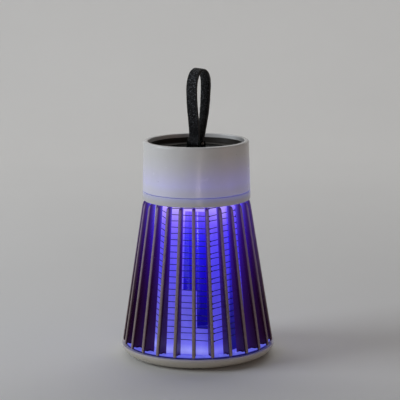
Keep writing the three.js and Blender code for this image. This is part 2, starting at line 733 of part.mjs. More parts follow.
function makeLeads() {
  const ends = [
    ['lead_live', LEAD_ANGLES[0], redInsulation],
    ['lead_return', LEAD_ANGLES[1], blackInsulation],
  ];
  for (const [name, angle, look] of ends) {
    place(name, rodAt(angle, LEAD_CIRCLE, LEAD_RADIUS, LEAD_BOTTOM, MAIN_BOARD_BOTTOM - GAP), look);
  }
}

function makeScrews() {
  const bottom = COLLAR_BOTTOM + GAP;
  const shoulder = bottom + SCREW_HEAD_HEIGHT;
  const profile = [
    [0, bottom],
    [SCREW_HEAD, bottom],
    [SCREW_HEAD, shoulder],
    [SCREW_SHANK, shoulder],
    [SCREW_SHANK, SCREW_TIP],
    [0, SCREW_TIP],
  ];
  SCREW_ANGLES.forEach((angle, i) => {
    const { x, y } = around(angle, SCREW_CIRCLE);
    place(`head_screw_${i + 1}`, turned(profile, TINY_SEGMENTS).translate(x, y, 0), steel);
  });
}

makeTray();
makeBaseRing();
makeSlats();
makeCollar();
makeHeadShell();
makeTopPanel();
makeCentreCap();
makeStrap();
makeElectrode('grid_live', 0, LEAD_ANGLES[0]);
makeElectrode('grid_return', 1, LEAD_ANGLES[1]);
makeGridFrame();
makeColumn();
makeLights();
makeBoards();
makeSocketAndSwitch();
makeButton();
makeLeads();
makeScrews();

export default lamp;
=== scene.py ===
import math

import bpy
import bmesh
from mathutils import Matrix, Vector, noise


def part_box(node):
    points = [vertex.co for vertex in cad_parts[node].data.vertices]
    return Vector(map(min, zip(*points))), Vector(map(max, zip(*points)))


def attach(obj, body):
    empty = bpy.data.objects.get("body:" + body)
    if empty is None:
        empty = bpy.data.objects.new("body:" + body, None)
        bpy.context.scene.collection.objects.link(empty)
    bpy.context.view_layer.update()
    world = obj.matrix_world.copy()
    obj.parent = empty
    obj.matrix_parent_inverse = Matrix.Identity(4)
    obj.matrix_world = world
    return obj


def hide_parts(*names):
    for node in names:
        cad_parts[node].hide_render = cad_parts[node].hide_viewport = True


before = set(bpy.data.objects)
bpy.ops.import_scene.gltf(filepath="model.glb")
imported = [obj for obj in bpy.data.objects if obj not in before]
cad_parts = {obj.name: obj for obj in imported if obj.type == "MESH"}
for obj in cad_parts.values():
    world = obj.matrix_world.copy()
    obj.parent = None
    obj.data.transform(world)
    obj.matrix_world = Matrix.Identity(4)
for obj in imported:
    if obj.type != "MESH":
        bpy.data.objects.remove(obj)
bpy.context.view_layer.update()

MM = 0.001
TAU = 2 * math.pi


# ---------------- sizes taken from the frame, in mm
def low(node):
    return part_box(node)[0].z / MM


def high(node):
    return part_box(node)[1].z / MM


def reach(node):
    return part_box(node)[1].x / MM


TRAY_RADIUS = reach("collection_tray")
TRAY_TOP = high("collection_tray")
RING_TOP = high("base_ring")
RING_OUTER = reach("base_ring")
SPIGOT_FOOT = low("base_ring")
SLAT_TOP = high("slat_01")
SLAT_BOTTOM = low("slat_01")
COLLAR_BOTTOM = low("collar")
COLLAR_TOP = high("collar")
COLLAR_RADIUS = reach("collar")
HEAD_BOTTOM = low("head_shell")
HEAD_TOP = high("head_shell")
HEAD_RADIUS = reach("head_shell")
PANEL_BASE = low("top_panel")
PANEL_RIM = high("top_panel")
PANEL_OUTER = reach("top_panel")
CAP_RADIUS = reach("centre_cap")
COLUMN_RADIUS = reach("core_column")
COLUMN_BOTTOM = low("core_column")
COLUMN_TOP = high("core_column")
PIN_HEIGHT = (low("strap_pin") + high("strap_pin")) / 2
PIN_RADIUS = (high("strap_pin") - low("strap_pin")) / 2
BUTTON_HEIGHT = (low("power_button") + high("power_button")) / 2
BUTTON_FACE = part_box("power_button")[1].y / MM

# Sizes and places that the frame's boxes don't give. Angles are in degrees.
HEAD_TOP_RADIUS = 34.2
SLAT_FOOT_RADIUS = 49.2
SLAT_STRAIGHT = 10.8
SLAT_SLOPE = 0.157
SLAT_INNER_FOOT = 39.6
SLAT_INNER_TOP = 30.4
SLAT_COUNT = 25
SLAT_FIRST_ANGLE = -3.3
SLAT_THICKNESS = 2.1
STRAP_TURN = 36.0
STRAP_WIDTH = 10.0
GRID_ANGLE = 17.4
SCREW_ANGLES = (5, 125, 245)
SCREW_CIRCLE = 30.6
LEAD_ANGLES = (GRID_ANGLE + 120, GRID_ANGLE + 180)
LEAD_CIRCLE = 26.0
WIRE_COUNT = 22
WIRE_FOOT, WIRE_PITCH, WIRE_OFFSET = 16.0, 4.0, 0.43
GRID_TOP, GRID_TOP_CORNER, GRID_TAPER = 102.0, 25.1, 0.1041


# ---------------- node trees
def srgb(red, green, blue):
    """Linear colour of a display colour given as 0 to 255."""
    return tuple(((c / 255 + 0.055) / 1.055) ** 2.4 if c > 10 else c / 3294.6 for c in (red, green, blue)) + (1.0,)


class Look:
    """A material built round one Principled shader, in the row frame's own coordinates."""

    def __init__(self, name, roughness=0.5, **constants):
        self.material = bpy.data.materials.new(name)
        self.material.use_nodes = True
        self.tree = self.material.node_tree
        self.shader = self.tree.nodes["Principled BSDF"]
        self.coords = self.node("TexCoord").outputs["Object"]
        self.height = None
        self.set("Roughness", roughness)
        for key, value in constants.items():
            self.set(key.replace("_", " "), value)

    def set(self, socket, value):
        self.feed(self.shader.inputs[socket], value)

    def feed(self, socket, value):
        if isinstance(value, bpy.types.NodeSocket):
            self.tree.links.new(value, socket)
        else:
            socket.default_value = value

    def paint(self, color):
        self.set("Base Color", color)

    def emit(self, color, strength=1.0):
        self.set("Emission Color", color)
        self.set("Emission Strength", strength)

    def node(self, kind, props=None, inputs=None):
        made = self.tree.nodes.new("ShaderNode" + kind)
        for key, value in (props or {}).items():
            setattr(made, key, value)
        for key, value in (inputs or {}).items():
            self.feed(made.inputs[key], value)
        return made

    def math(self, operation, a, b=0.0, clamp=False):
        return self.node("Math", {"operation": operation, "use_clamp": clamp}, {0: a, 1: b}).outputs[0]

    def times(self, a, b):
        return self.math("MULTIPLY", a, b)

    def remap(self, value, a, b, c=0.0, d=1.0, smooth=False):
        kind = "SMOOTHSTEP" if smooth else "LINEAR"
        inputs = {"Value": value, "From Min": a, "From Max": b, "To Min": c, "To Max": d}
        return self.node("MapRange", {"interpolation_type": kind, "clamp": True}, inputs).outputs["Result"]

    def stretched(self, x, y, z):
        return self.node("Mapping", None, {"Vector": self.coords, "Scale": (x, y, z)}).outputs["Vector"]

    def noise(self, size, detail=2.0, roughness=0.5, distortion=0.0, coords=None):
        inputs = {"Vector": coords or self.coords, "Scale": 1 / (size * MM), "Detail": detail,
                  "Roughness": roughness, "Distortion": distortion}
        return self.node("TexNoise", None, inputs).outputs["Fac"]

    def cells(self, size, feature, coords=None, smooth=None, randomness=1.0):
        inputs = {"Vector": coords or self.coords, "Scale": 1 / (size * MM), "Randomness": randomness}
        if smooth is not None:
            inputs["Smoothness"] = smooth
        return self.node("TexVoronoi", {"feature": feature}, inputs).outputs["Distance"]

    def ramp(self, value, stops):
        made = self.node("ValToRGB", None, {"Fac": value})
        ends = made.color_ramp.elements
        while len(ends) < len(stops):
            ends.new(0.5)
        for end, (place, color) in zip(ends, stops):
            end.position = place
            end.color = color
        return made.outputs["Color"]

    def mix(self, factor, a, b, blend="MIX"):
        made = self.node("Mix", {"data_type": "RGBA", "blend_type": blend, "clamp_factor": True})
        for index, value in ((0, factor), (6, a), (7, b)):
            self.feed(made.inputs[index], value)
        return made.outputs[2]

    def tint(self, a, b):
        return self.mix(1.0, a, b, "MULTIPLY")

    def facing(self):
        """1 where the surface looks away from the upright axis, -1 where it looks at it."""
        normal = self.node("TexCoord").outputs["Normal"]
        outward = self.node("VectorMath", {"operation": "MULTIPLY"}, {0: self.coords, 1: (1, 1, 0)}).outputs[0]
        outward = self.node("VectorMath", {"operation": "NORMALIZE"}, {0: outward}).outputs[0]
        return self.node("VectorMath", {"operation": "DOT_PRODUCT"}, {0: normal, 1: outward}).outputs["Value"]

    def radius(self):
        x, y = (self.axis(side) for side in "XY")
        return self.math("SQRT", self.math("ADD", self.times(x, x), self.times(y, y)))

    def axis(self, name):
        return self.node("SeparateXYZ", None, {0: self.coords}).outputs[name]

    def level(self):
        """Height above the ground, in mm."""
        return self.math("DIVIDE", self.axis("Z"), MM)

    def uneven_gloss(self, pattern, low_end, high_end):
        """Roughness that wanders between two values, in a noise of that (size, detail, roughness)."""
        self.set("Roughness", self.remap(self.noise(*pattern), 0.3, 0.7, low_end, high_end))

    def relief(self, height, depth):
        """Adds one layer of bump, depth in mm."""
        made = self.node("Bump", None, {"Strength": 1.0, "Distance": depth * MM, "Height": height})
        if self.height is not None:
            self.feed(made.inputs["Normal"], self.height)
        self.height = made.outputs["Normal"]
        self.set("Normal", self.height)

    def specks(self, spacing, size, share):
        """1 on small round specks: cells of that spacing, of which that share holds one."""
        voronoi = self.node("TexVoronoi", {"feature": "F1"}, {"Vector": self.coords, "Scale": 1 / (spacing * MM)})
        lottery = self.node("SeparateColor", None, {0: voronoi.outputs["Color"]}).outputs[0]
        chosen = self.math("LESS_THAN", lottery, share)
        near = self.remap(voronoi.outputs["Distance"], size / spacing * 0.6, size / spacing, 1, 0)
        return self.times(chosen, near)


def tone(color, factor):
    """The colour made lighter or darker by a factor."""
    return tuple(min(1.0, c * factor) for c in color[:3]) + (1.0,)


def white_plastic(name, glow=None, white=(0.80, 0.79, 0.775, 1)):
    """Semi-gloss moulded ABS: faint mottling, fine moulding grain, a few dust specks."""
    look = Look(name, IOR=1.5)
    mottled = look.mix(look.noise(22, 3), tone(white, 0.965), tone(white, 1.02))
    warm = look.mix(look.remap(look.noise(6, 4, 0.6), 0.45, 0.75, 0, 0.5), mottled, tone(white, 0.955))
    dust = look.specks(5.0, 0.32, 0.16)
    look.paint(look.mix(dust, warm, (0.30, 0.28, 0.26, 1)))
    smears = look.noise(9, 5, 0.62, 0.4)
    look.set("Roughness", look.remap(smears, 0.3, 0.75, 0.17, 0.30))
    look.relief(look.noise(1.3, 2), 0.018)
    look.relief(look.noise(0.28, 2), 0.006)
    scratches = look.noise(0.5, 3, 0.5, 0, look.stretched(1, 1, 0.06))
    look.relief(look.remap(scratches, 0.66, 0.74), 0.004)
    if glow:
        glow(look)
    return look.material


def head_glow(look):
    """Violet light that leaks through the thin white wall, strongest near the lower edge."""
    place = look.remap(look.level(), HEAD_BOTTOM, HEAD_BOTTOM + 26)
    glow = look.ramp(place, [
        (0.0, (0.010, 0.012, 0.12, 1)), (0.02, (0.012, 0.014, 0.12, 1)), (0.12, (0.012, 0.012, 0.11, 1)),
        (0.27, (0.016, 0.013, 0.19, 1)), (0.46, (0.012, 0.008, 0.13, 1)), (0.72, (0.005, 0.003, 0.045, 1)),
        (1.0, (0, 0, 0, 1))])
    patches = look.remap(look.noise(16, 1), 0.3, 0.7, 0.72, 1.12)
    look.emit(look.tint(glow, patches))


def collar_glow(look):
    """The same light on the collar: strongest at the seam above it and at its lower edge."""
    place = look.remap(look.level(), COLLAR_BOTTOM, COLLAR_TOP)
    glow = look.ramp(place, [
        (0.0, (0.012, 0.008, 0.060, 1)), (0.2, (0.003, 0.003, 0.014, 1)), (0.45, (0.006, 0.006, 0.035, 1)),
        (0.75, (0.012, 0.019, 0.12, 1)), (1.0, (0.014, 0.020, 0.15, 1))])
    look.emit(glow)


def tray_glow(look):
    """Violet light inside the tray and, fainter, on its rim close under the base ring."""
    level = look.level()
    rim = look.ramp(look.remap(level, 0, TRAY_TOP), [
        (0, (0, 0, 0, 1)), (0.76, (0.0005, 0.0005, 0.003, 1)), (1.0, (0.004, 0.005, 0.048, 1))])
    inside = look.times(look.remap(look.radius(), 45.5 * MM, 46 * MM, 1, 0), look.remap(level, 1.2, 1.6))
    inside = look.times(inside, look.remap(look.facing(), 0.15, 0.30, 1, 0))
    glow = look.mix(inside, rim, srgb(84, 86, 205))
    look.emit(glow)


def ring_plastic():
    """The base ring's satin moulding: a dark blue base colour as painted shade, and a painted blue glow from the
    lamps on top that fades to nearly black down its spigot.
    """
    look = Look("ring_satin_painted_shade", IOR=1.5, Specular_IOR_Level=0.25)
    # painted shade: the dark blue base colour stands for the shadow the ring sits in
    look.paint(look.mix(look.noise(3.5, 4, 0.6), (0.012, 0.010, 0.030, 1), (0.030, 0.024, 0.055, 1)))
    # uneven streaks in the painted glow
    glow_streaks = look.remap(look.noise(6, 4, 0.6, 0.3), 0.3, 0.7, 0.75, 1.15)
    glow = by_height(look, (
        (RING_TOP - 2.6, (5, 3, 24)), (RING_TOP - 1.3, (16, 14, 98)), (RING_TOP - 0.85, (16, 14, 98)),
        (RING_TOP - 0.25, (98, 102, 220))))
    look.emit(look.tint(glow, glow_streaks))
    look.uneven_gloss((5, 4, 0.6), 0.30, 0.45)
    look.relief(look.noise(0.45, 3), 0.012)
    return look.material


def slat_plastic():
    """Satin coffee-brown moulding: a painted highlight along its rounded outer edge, and painted violet light where
    the lamps reach its faces.
    """
    look = Look("slat_satin_brown", IOR=1.5, Specular_IOR_Level=0.32)
    radius, z = look.radius(), look.axis("Z")
    outer = look.remap(z, SLAT_STRAIGHT * MM, 150 * MM, SLAT_FOOT_RADIUS * MM,
                       (SLAT_FOOT_RADIUS - SLAT_SLOPE * (150 - SLAT_STRAIGHT)) * MM)
    inner = look.remap(z, SLAT_BOTTOM * MM, SLAT_TOP * MM, SLAT_INNER_FOOT * MM, SLAT_INNER_TOP * MM)
    depth = look.math("SUBTRACT", outer, radius)
    brown = (0.034, 0.011, 0.007, 1)
    flow = look.noise(3.5, 4, 0.6, 0.3, look.stretched(1, 1, 0.12))
    base = look.mix(flow, tone(brown, 0.78), tone(brown, 1.25))
    dust = look.remap(look.noise(1.2, 5, 0.7), 0.58, 0.82, 0, 0.16)
    base = look.mix(dust, base, (0.12, 0.085, 0.075, 1))
    # painted highlight: paler colour along the rounded outer edge, where it would catch the light
    edge_highlight = look.remap(depth, 0.20 * MM, 0.75 * MM, 0.85, 0)
    edge_highlight = look.times(edge_highlight, look.remap(look.noise(2.2, 4, 0.6), 0.25, 0.65, 0.70, 1.0))
    base = look.mix(edge_highlight, base, (0.35, 0.29, 0.265, 1))
    look.paint(look.mix(look.specks(4.0, 0.25, 0.2), base, (0.36, 0.34, 0.31, 1)))
    look.uneven_gloss((5, 4, 0.6), 0.28, 0.42)
    look.relief(look.noise(0.45, 3), 0.012)
    look.relief(flow, 0.02)
    share = look.math("DIVIDE", depth, look.math("SUBTRACT", outer, inner), clamp=True)
    inwards = look.math("ADD", look.times(look.math("POWER", share, 2.2), 0.94), 0.06)
    glow = look.tint(by_height(look, SLAT_GLOW_STOPS), inwards)
    # painted violet light, stronger higher up
    violet_light = look.mix(look.remap(z, 40 * MM, 95 * MM), (0.0040, 0.0002, 0.0030, 1), (0.018, 0.0015, 0.042, 1))
    look.emit(look.mix(1.0, glow, violet_light, "ADD"))
    return look.material


# How the lamps light each part, from its foot up: height in mm and display colour.
SLAT_GLOW_STOPS = (
    (8, (28, 4, 70)), (30, (28, 4, 72)), (50, (30, 6, 92)), (62, (32, 10, 124)), (72, (34, 14, 156)),
    (82, (40, 24, 192)), (92, (64, 54, 226)), (103, (92, 84, 250)))
FROST_STOPS = (
    (6.5, (128, 128, 228)), (9, (146, 148, 243)), (13, (112, 110, 236)), (19, (96, 92, 220)),
    (30, (92, 86, 214)), (45, (90, 80, 222)), (62, (88, 76, 240)), (80, (104, 86, 247)),
    (90, (130, 104, 252)), (96, (162, 138, 255)), (101, (200, 182, 255)))
COLUMN_STOPS = (
    (20, (12, 5, 110)), (32, (14, 5, 128)), (46, (22, 8, 166)), (58, (26, 12, 196)), (70, (34, 22, 222)),
    (80, (52, 38, 236)), (90, (96, 74, 245)), (99, (140, 110, 250)), (106, (150, 120, 250)))


def by_height(look, stops):
    """A colour that follows height above the ground, from (mm, display colour) pairs."""
    level = look.level()
    first, last = stops[0][0], stops[-1][0]
    place = look.remap(level, first, last)
    return look.ramp(place, [((z - first) / (last - first), srgb(*color)) for z, color in stops])


def lamp_spots(look, spread, drop):
    """1 in front of each of the six lamps and fading away from it, for a part that stands round them."""
    x, y, z = (look.axis(name) for name in "XYZ")
    turn = look.math("ARCTAN2", x, look.times(y, -1))
    shifted = look.math("ADD", turn, math.radians(60 * 7 - GRID_ANGLE))
    within = look.math("SUBTRACT", look.math("MODULO", shifted, TAU / 6), TAU / 12)
    sideways = look.math("POWER", look.math("DIVIDE", within, spread), 2)
    below = look.math("DIVIDE", look.math("SUBTRACT", z, 99 * MM), drop * MM)
    apart = look.math("ADD", sideways, look.math("POWER", below, 2))
    return look.math("EXPONENT", look.times(apart, -1), 0)


def frosted_plastic():
    """Frosted translucent plastic, with a painted violet glow from the lamps at its top.

    Its inside has painted deep-blue light. Painted shade lies along the left edge of the narrow window and deepens
    the glow towards its right side."""
    look = Look("frame_frosted", IOR=1.49)
    look.paint(look.mix(look.noise(4, 3), (0.050, 0.045, 0.12, 1), (0.080, 0.075, 0.17, 1)))
    glow = by_height(look, FROST_STOPS)
    # painted light and shade: paler glow on the left where the key light falls, deeper towards the right
    shaded_right = look.remap(look.axis("X"), -6 * MM, 20 * MM, 0, 1, smooth=True)
    glow = look.mix(shaded_right, glow, look.tint(glow, (0.58, 0.52, 0.97, 1)))
    # painted shade: deep blue along the left edge of the narrow window
    window_shade = look.remap(look.axis("X"), 19.9 * MM, 21.3 * MM)
    for side, start, end in (("Y", -8, -11), ("Z", 86, 66)):
        window_shade = look.times(window_shade, look.remap(look.axis(side), start * MM, end * MM))
    glow = look.mix(window_shade, glow, by_height(look, COLUMN_STOPS))
    cloudy = look.remap(look.noise(7, 4, 0.6, 0.3, look.stretched(1, 1, 0.45)), 0.25, 0.75, 0.84, 1.10)
    glow = look.tint(glow, cloudy)
    hot = look.times(lamp_spots(look, 0.26, 8.0), 0.72)
    glow = look.mix(hot, glow, (0.50, 0.36, 1.0, 1))
    # painted deep-blue light on the inward-facing surfaces
    glow = look.mix(look.remap(look.facing(), -0.45, -0.15), by_height(look, COLUMN_STOPS), glow)
    look.emit(glow)
    look.uneven_gloss((2.5, 3), 0.36, 0.55)
    look.relief(look.noise(0.35, 3), 0.012)
    look.relief(look.noise(2.2, 2), 0.03)
    return look.material


def column_plastic():
    """Glossy core tube: its deep-blue base colour stands for the lamps' violet-blue light on it, and its glow is
    painted light.
    """
    look = Look("column_gloss_painted_light", 0.12, IOR=1.5, Coat_Weight=0.4)
    # painted light: the deep-blue base colour stands for the lamps' light falling on the tube
    look.paint(look.mix(look.noise(8, 3), (0.020, 0.012, 0.16, 1), (0.030, 0.018, 0.22, 1)))
    glow_streaks = look.remap(look.noise(3, 3, 0.6, 0, look.stretched(1, 1, 0.05)), 0.3, 0.7, 0.82, 1.12)
    look.emit(look.tint(by_height(look, COLUMN_STOPS), glow_streaks), 0.9)
    look.set("Roughness", look.remap(look.noise(6, 4, 0.6), 0.3, 0.75, 0.10, 0.24))
    look.relief(look.noise(0.8, 2), 0.006)
    return look.material


def charcoal_plastic():
    """Spark-eroded matt charcoal, slightly warm."""
    look = Look("charcoal_matt", IOR=1.45, Specular_IOR_Level=0.14)
    base = look.mix(look.noise(14, 4), (0.024, 0.021, 0.018, 1), (0.038, 0.033, 0.028, 1))
    dust = look.remap(look.noise(0.9, 5, 0.75), 0.60, 0.82, 0, 0.22)
    look.paint(look.mix(dust, base, (0.20, 0.185, 0.17, 1)))
    look.uneven_gloss((3, 4), 0.42, 0.60)
    look.relief(look.noise(0.30, 3, 0.7), 0.030)
    look.relief(look.cells(0.42, "SMOOTH_F1", smooth=0.5), 0.012)
    return look.material


def gloss_black():
    """Piano-black disc with wiping marks, hairline scratches and dust."""
    look = Look("gloss_black_disc", 0.06, IOR=1.45, Specular_IOR_Level=0.04)
    dust = look.specks(3.2, 0.22, 0.22)
    base = look.mix(look.noise(18, 3), (0.003, 0.0045, 0.0035, 1), (0.006, 0.008, 0.007, 1))
    look.paint(look.mix(dust, base, (0.13, 0.125, 0.12, 1)))
    wiped = look.noise(7, 5, 0.65, 0.8)
    look.set("Roughness", look.remap(wiped, 0.35, 0.75, 0.14, 0.28))
    hair = look.noise(0.35, 2, 0.5, 0, look.stretched(1, 0.05, 1))
    look.relief(look.remap(hair, 0.68, 0.76), 0.003)
    look.relief(look.noise(9, 2), 0.01)
    return look.material


def leather():
    """Black pebbled leather: a painted blue-grey sheen on the tops of the grain, and painted shade that makes its
    creases black.
    """
    look = Look("leather_black_pebbled", IOR=1.48, Specular_IOR_Level=0.12)
    crease = look.cells(1.25, "DISTANCE_TO_EDGE")
    fine = look.noise(0.24, 4, 0.6)
    raised = look.remap(crease, 0.06, 0.34, smooth=True)
    # painted shade: the creases much darker than the raised grain
    base = look.mix(raised, (0.0008, 0.0008, 0.0010, 1), (0.011, 0.0115, 0.0135, 1))
    # painted sheen on the raised grain, stronger higher up the strap
    painted_sheen = look.remap(look.noise(1.5, 1, 0.5), 0.42, 0.62, 0, 1)
    higher = look.remap(look.axis("Z"), (PIN_HEIGHT + 6) * MM, (PIN_HEIGHT + 36) * MM, 0.45, 1)
    painted_sheen = look.times(look.times(painted_sheen, raised), higher)
    look.paint(look.mix(painted_sheen, base, (0.115, 0.12, 0.135, 1)))
    smoother = look.times(raised, -0.35)
    look.set("Roughness", look.remap(look.math("ADD", fine, smoother), 0.0, 0.7, 0.34, 0.6))
    look.relief(raised, 0.05)
    look.relief(fine, 0.03)
    look.relief(look.noise(1.0, 3, 0.6), 0.16)
    return look.material


def leather_edge():
    """Painted cut edge of the strap."""
    look = Look("leather_painted_edge", IOR=1.5)
    look.paint(look.mix(look.noise(1.5, 4), (0.005, 0.005, 0.005, 1), (0.014, 0.013, 0.012, 1)))
    look.uneven_gloss((1.1, 3), 0.30, 0.5)
    look.relief(look.noise(0.5, 3, 0.6), 0.05)
    return look.material


def drawn_steel(name, color, rough=(0.24, 0.42)):
    """Drawn or rolled metal: fine grain and patches of tarnish."""
    look = Look(name, Metallic=1.0)
    tarnish = look.noise(3.0, 5, 0.65)
    look.paint(look.mix(look.remap(tarnish, 0.45, 0.75), color, tone(color, 0.62)))
    look.uneven_gloss((0.9, 4, 0.6), *rough)
    look.relief(look.noise(0.16, 3, 0.6), 0.006)
    return look.material


def circuit_board():
    """Green solder mask over copper traces, with bare pads."""
    look = Look("board_solder_mask", 0.35, IOR=1.5, Coat_Weight=0.3)
    turn = (0.0, 0.0, math.radians(30))
    turned = look.node("Mapping", None, {"Vector": look.coords, "Rotation": turn}).outputs[0]
    tracks = look.cells(2.6, "F1", turned, randomness=0.35)
    ways = look.cells(2.6, "DISTANCE_TO_EDGE", turned, randomness=0.35)
    copper = look.remap(ways, 0.04, 0.07, 1, 0)
    base = look.mix(copper, (0.010, 0.075, 0.032, 1), (0.030, 0.150, 0.055, 1))
    pads = look.remap(tracks, 0.10, 0.13, 1, 0)
    look.paint(look.mix(pads, base, (0.62, 0.60, 0.56, 1)))
    look.uneven_gloss((4, 3), 0.26, 0.42)
    look.relief(copper, 0.035)
    look.relief(look.noise(0.6, 2), 0.006)
    return look.material


def moulded(name, color, rough=(0.4, 0.6), grain=0.5, depth=0.02, **constants):
    """A small moulded or dipped part: tone variation, fine grain and handling marks."""
    look = Look(name, **constants)
    base = look.mix(look.noise(5, 4), tone(color, 0.82), tone(color, 1.15))
    look.paint(look.mix(look.specks(2.5, 0.2, 0.2), base, tone(color, 2.2)))
    look.uneven_gloss((2.4, 4, 0.6), *rough)
    look.relief(look.noise(grain, 3, 0.6), depth)
    return look.material


def cell_wrap():
    """Shrink-wrapped battery: blue film drawn tight, with faint hoops where it gripped."""
    look = Look("cell_wrap_blue", 0.3, IOR=1.5, Coat_Weight=0.5)
    hoops = look.noise(2.2, 3, 0.5, 0.2, look.stretched(0.08, 0.08, 1))
    blue = (0.035, 0.14, 0.42, 1)
    look.paint(look.mix(hoops, tone(blue, 0.85), tone(blue, 1.15)))
    look.uneven_gloss((4, 4), 0.20, 0.36)
    look.relief(hoops, 0.05)
    return look.material


def lamp_lens():
    """Violet epoxy dome, brightest at its tip."""
    look = Look("uv_lens_epoxy", 0.08, IOR=1.55)
    level = look.level()
    tip = look.remap(level, low("uv_led_1"), high("uv_led_1"), 1, 0)
    swirl = look.remap(look.noise(1.6, 3), 0.3, 0.7, 0.85, 1.1)
    glow = look.ramp(tip, [(0, (0.10, 0.05, 0.75, 1)), (0.5, (0.45, 0.30, 1, 1)), (1, (0.95, 0.85, 1, 1))])
    look.paint(look.mix(swirl, (0.30, 0.24, 0.62, 1), (0.40, 0.34, 0.72, 1)))
    look.emit(look.tint(glow, swirl), 6.0)
    return look.material


def studio_floor():
    look = Look("stage_pale", 0.75)
    look.paint(look.mix(look.noise(160, 3), (0.73, 0.725, 0.715, 1), (0.76, 0.755, 0.745, 1)))
    look.relief(look.noise(2.5, 4, 0.6), 0.05)
    return look.material


# ---------------- mesh building, all in mm
def around(angle, radius, height=0.0):
    """A point at that angle in degrees, counted from the front (-Y) towards the right (+X)."""
    a = math.radians(angle)
    return Vector((radius * math.sin(a), -radius * math.cos(a), height))


def fillet(points, closed=True, steps=5):
    """Rounds the corners of an outline. A point is (x, y) or (x, y, radius)."""
    rounded = []
    count = len(points)
    for i, point in enumerate(points):
        corner = Vector(point[:2])
        radius = point[2] if len(point) > 2 else 0
        if not radius or (not closed and i in (0, count - 1)):
            rounded.append(tuple(corner))
            continue
        back = Vector(points[i - 1][:2]) - corner
        on = Vector(points[(i + 1) % count][:2]) - corner
        half = back.angle(on) / 2
        cut = min(radius / math.tan(half), back.length * 0.49, on.length * 0.49)
        radius = cut * math.tan(half)
        centre = corner + (back.normalized() + on.normalized()).normalized() * radius / math.sin(half)
        start = corner + back.normalized() * cut - centre
        sweep = math.atan2(*reversed(corner + on.normalized() * cut - centre)) - math.atan2(start.y, start.x)
        sweep = (sweep + math.pi) % TAU - math.pi
        for k in range(steps + 1):
            turn = sweep * k / steps
            c, s = math.cos(turn), math.sin(turn)
            rounded.append((centre.x + start.x * c - start.y * s, centre.y + start.x * s + start.y * c))
    return rounded


def lathe(profile, closed=True, segments=160):
    """A solid of revolution about Z from (radius, height) pairs."""
    verts, faces, rings = [], [], []
    for radius, height in profile:
        if radius < 1e-6:
            rings.append([len(verts)] * segments)
            verts.append((0, 0, height))
            continue
        rings.append(range(len(verts), len(verts) + segments))
        verts += [(radius * math.cos(TAU * j / segments), radius * math.sin(TAU * j / segments), height)
                  for j in range(segments)]
    for lower, upper in zip(rings, rings[1:] + (rings[:1] if closed else [])):
        for j in range(segments):
            k = (j + 1) % segments
            loop = tuple(dict.fromkeys((lower[j], lower[k], upper[k], upper[j])))
            if len(loop) > 2:
                faces.append(loop)
    return verts, faces


def skin(rings, sides, closed):
    """Faces over rings of that many points each: a closed hoop, or a run with a cap at each end."""
    faces = []
    for i in range(rings if closed else rings - 1):
        n = (i + 1) % rings
        for j in range(sides):
            k = (j + 1) % sides
            faces.append((i * sides + j, i * sides + k, n * sides + k, n * sides + j))
    if not closed:
        faces.append(tuple(range(sides - 1, -1, -1)))
        faces.append(tuple(range((rings - 1) * sides, rings * sides)))
    return faces


def quarter_turn(steps):
    return [math.pi / 2 * k / steps for k in range(steps + 1)]


def tube(points, radius, sides=10, closed=False):
    """A round rod along points, or a closed hoop."""
    path = [Vector(p) for p in points]
    count = len(path)
    verts = []
    side = None
    for i, here in enumerate(path):
        if closed:
            ahead = (path[(i + 1) % count] - here).normalized() + (here - path[i - 1]).normalized()
        else:
            ahead = path[min(i + 1, count - 1)] - path[max(i - 1, 0)]
        ahead.normalize()
        if side is None:
            side = ahead.orthogonal().normalized()
        side = (side - ahead * side.dot(ahead)).normalized()
        across = ahead.cross(side)
        for j in range(sides):
            turn = TAU * j / sides
            verts.append(here + (side * math.cos(turn) + across * math.sin(turn)) * radius)
    return verts, skin(count, sides, closed)


def inset(outline, amount):
    """The outline moved inwards, its points kept one to one. It runs anticlockwise."""
    inner = []
    for i, here in enumerate(outline):
        here = Vector(here)
        before = (here - Vector(outline[i - 1])).normalized()
        after = (Vector(outline[(i + 1) % len(outline)]) - here).normalized()
        normals = [Vector((-d.y, d.x)) for d in (before, after)]
        inward = normals[0] + normals[1]
        inward /= max(1 + normals[0].dot(normals[1]), 0.2)
        inner.append(here + inward * amount)
    return inner


def plate(outline, thickness, bevel, steps=3):
    """A flat piece of that outline in its own XY plane, its rim rounded on both sides."""
    verts = []
    for side, turns in ((-1, reversed(quarter_turn(steps))), (1, quarter_turn(steps))):
        for turn in turns:
            rise = thickness / 2 - bevel + bevel * math.sin(turn)
            verts += [(x, y, side * rise) for x, y in inset(outline, bevel * (1 - math.cos(turn)))]
    return verts, skin(2 * (steps + 1), len(outline), closed=False)


def moved(shape, matrix):
    verts, faces = shape
    return [matrix @ Vector(v) for v in verts], faces


def together(*shapes):
    verts, faces = [], []
    for more_verts, more_faces in shapes:
        start = len(verts)
        verts += list(more_verts)
        faces += [tuple(i + start for i in face) for face in more_faces]
    return verts, faces


def upright(angle):
    """Takes (out, up, sideways) to the row frame, standing at that angle."""
    out = around(angle, 1)
    up = Vector((0, 0, 1))
    return Matrix((out, up, out.cross(up))).transposed().to_4x4()


def shift(angle, radius):
    return Matrix.Translation(around(angle, radius))


def to_mesh(name, shape, sharp=38):
    verts, faces = shape
    mesh = bpy.data.meshes.new(name)
    mesh.from_pydata([tuple(c * MM for c in v) for v in verts], [], faces)
    work = bmesh.new()
    work.from_mesh(mesh)
    bmesh.ops.recalc_face_normals(work, faces=work.faces)
    work.to_mesh(mesh)
    work.free()
    mesh.shade_smooth()
    mesh.set_sharp_from_angle(angle=math.radians(sharp))
    return mesh


